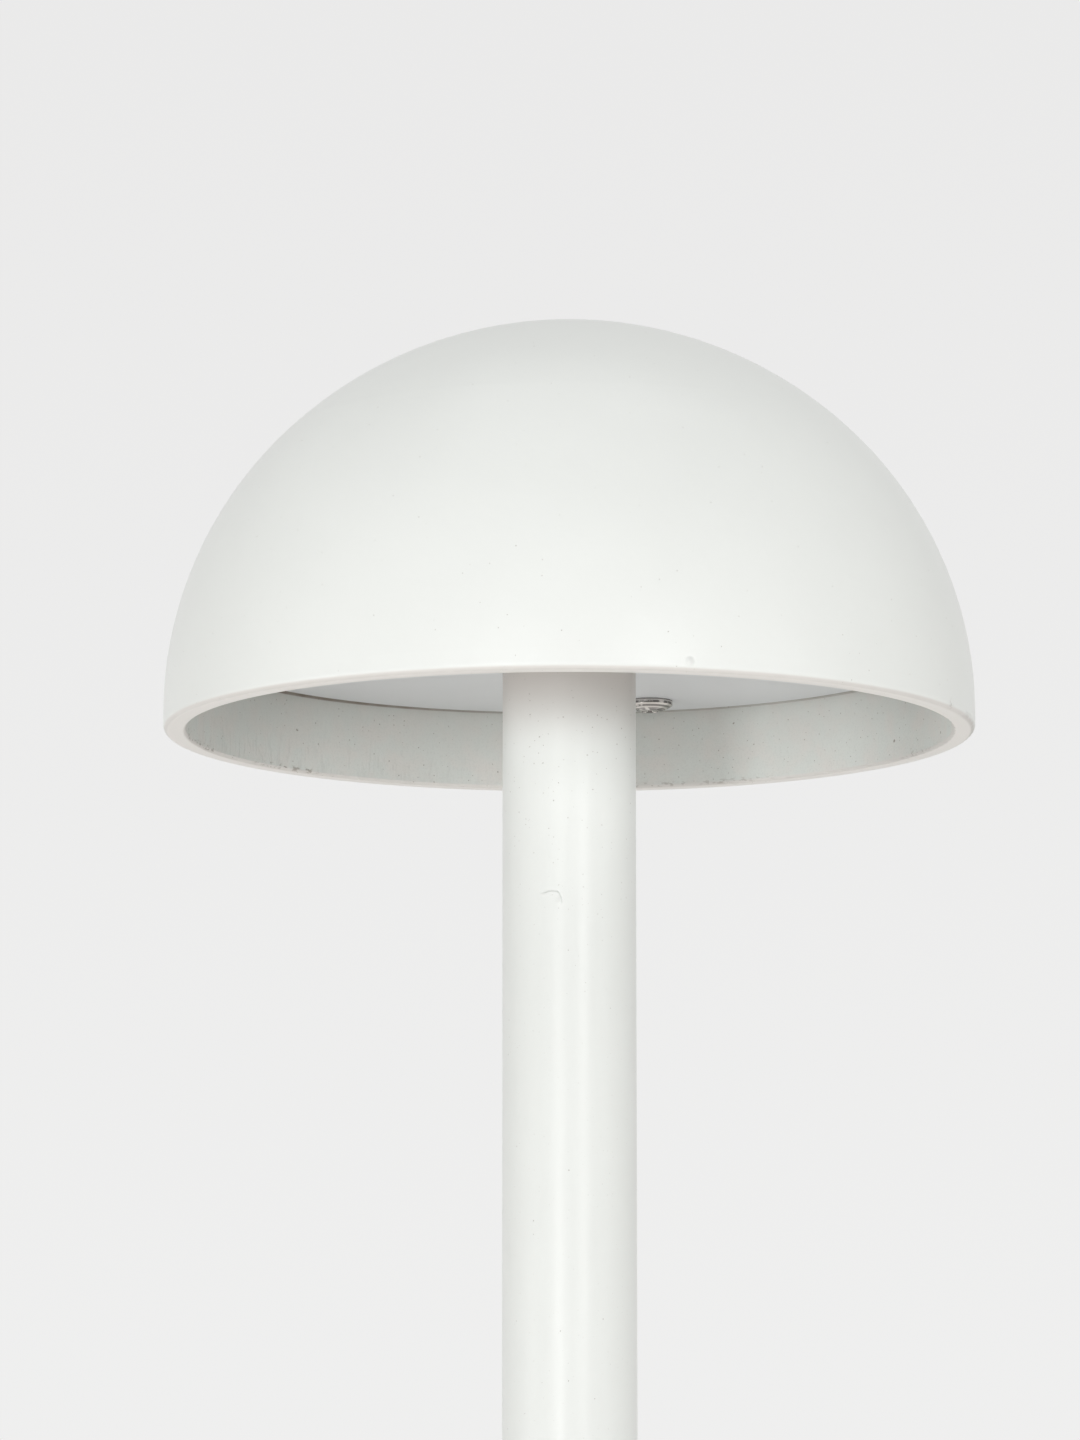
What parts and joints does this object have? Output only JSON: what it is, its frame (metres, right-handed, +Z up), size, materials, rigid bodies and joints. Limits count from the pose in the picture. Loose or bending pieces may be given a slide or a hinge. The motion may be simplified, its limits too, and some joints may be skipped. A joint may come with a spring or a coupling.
{
  "type": "mushroom bollard light",
  "caption": "Domed shade with a recessed opal diffuser on a straight round pole, with a round foot that bolts to the ground; a path and garden light.",
  "frame": {"origin": "on the pole's axis, at the foot's underside", "axes": "+Z up along the pole, -Y towards the picture's camera, +X to its right"},
  "size_m": [0.203, 0.203, 0.61],
  "materials": {
    "powder_coat": "satin off-white powder coat",
    "opal": "smooth opal acrylic",
    "silicone": "matt white silicone",
    "nickel": "bright nickel plate",
    "tray_metal": "brushed",
    "zinc_steel": "zinc plated",
    "dark_steel": "black oxide",
    "tinned_brass": "tinned",
    "board_white": "white solder mask",
    "chip_yellow": "phosphor",
    "terminal_plastic": "moulded",
    "wire_red": "smooth jacket",
    "driver_case": "moulded case",
    "wire_green": "smooth jacket",
    "lead_jacket": "rubber jacket",
    "connector_plastic": "moulded",
    "rubber_black": "moulded rubber"
  },
  "bodies": {
    "root": {"dome_shade": "powder_coat", "pole_tube": "powder_coat", "base_flange": "powder_coat", "diffuser_disc": "opal", "diffuser_gasket": "silicone", "pole_seal": "silicone", "diffuser_screws": "nickel", "gear_tray": "tray_metal", "gear_tray_screws": "zinc_steel", "led_board_screws": "zinc_steel", "driver_screws": "zinc_steel", "earth_screw": "zinc_steel", "hub_set_screws": "dark_steel", "base_set_screws": "dark_steel", "earth_tag": "tinned_brass", "led_board": "board_white", "led_chips": "chip_yellow", "led_terminal": "terminal_plastic", "led_leads": "wire_red", "led_driver": "driver_case", "earth_lead": "wire_green", "supply_lead": "lead_jacket", "inlet_connector": "connector_plastic", "wire_grommet": "rubber_black", "cable_grommet": "rubber_black"}
  },
  "joints": []
}
